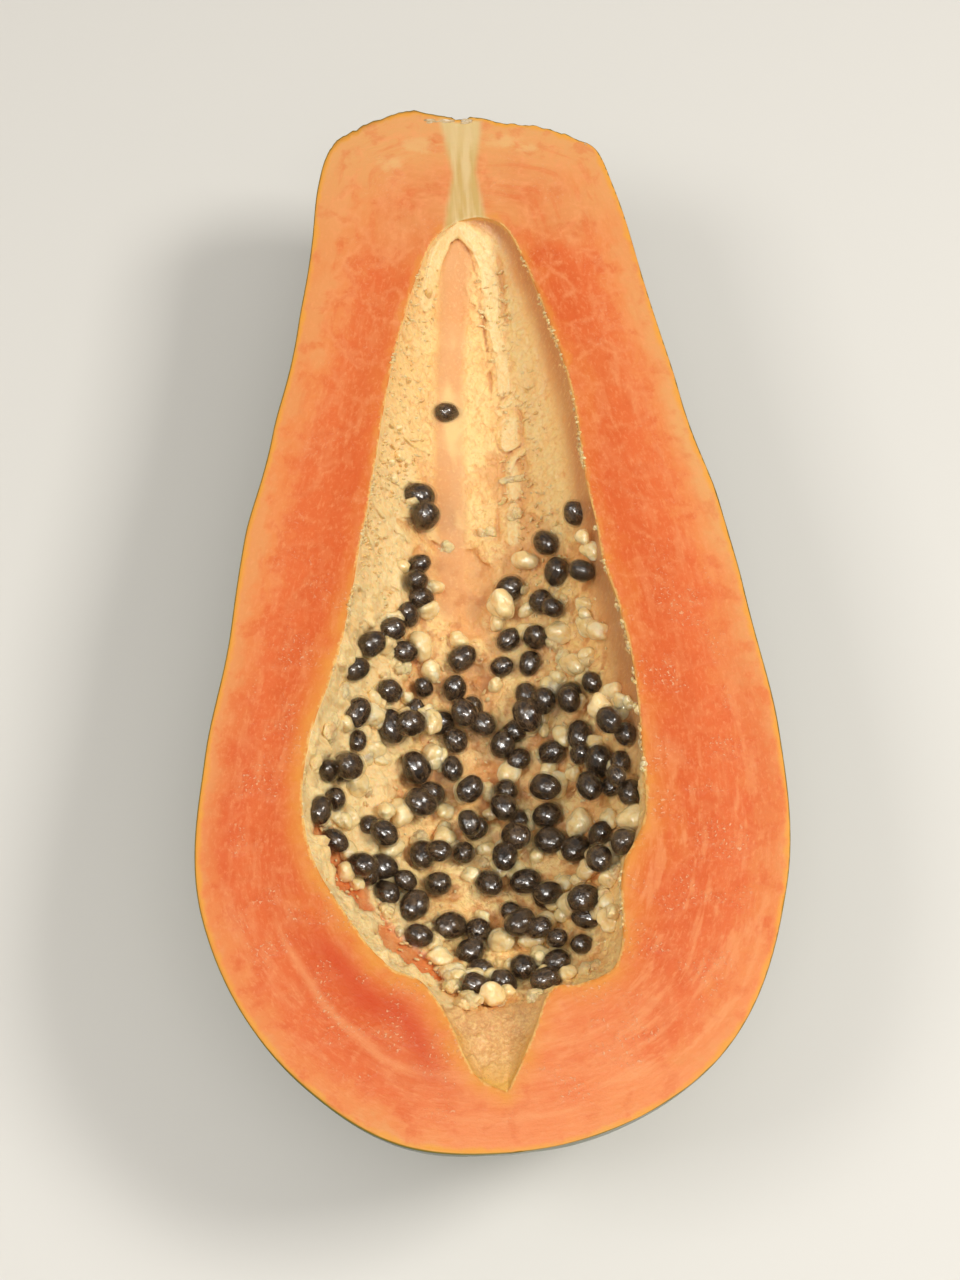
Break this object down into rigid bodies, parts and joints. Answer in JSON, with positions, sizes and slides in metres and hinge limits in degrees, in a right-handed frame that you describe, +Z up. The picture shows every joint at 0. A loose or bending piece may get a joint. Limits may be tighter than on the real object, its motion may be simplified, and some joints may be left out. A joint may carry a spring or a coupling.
{
  "type": "papaya half",
  "caption": "Ripe papaya cut lengthwise, a thick flesh shell with a long seed-filled hollow, resting on its skin, cut face up.",
  "frame": {"origin": "on the floor, below the middle of the half fruit's bounding box", "axes": "+Z up, square to the cut face, +Y towards the stem end, +X to the right seen from above with the stem end at the top"},
  "size_m": [0.1303, 0.2581, 0.0595],
  "materials": {
    "papaya_flesh": "moist, satin",
    "papaya_skin": "waxy, satin",
    "papaya_pulp": "moist, grainy",
    "papaya_seed": "wet, glossy",
    "papaya_pale_seed": "wet, glossy"
  },
  "bodies": {
    "root": {"papaya_half": "papaya_flesh"}
  },
  "joints": []
}
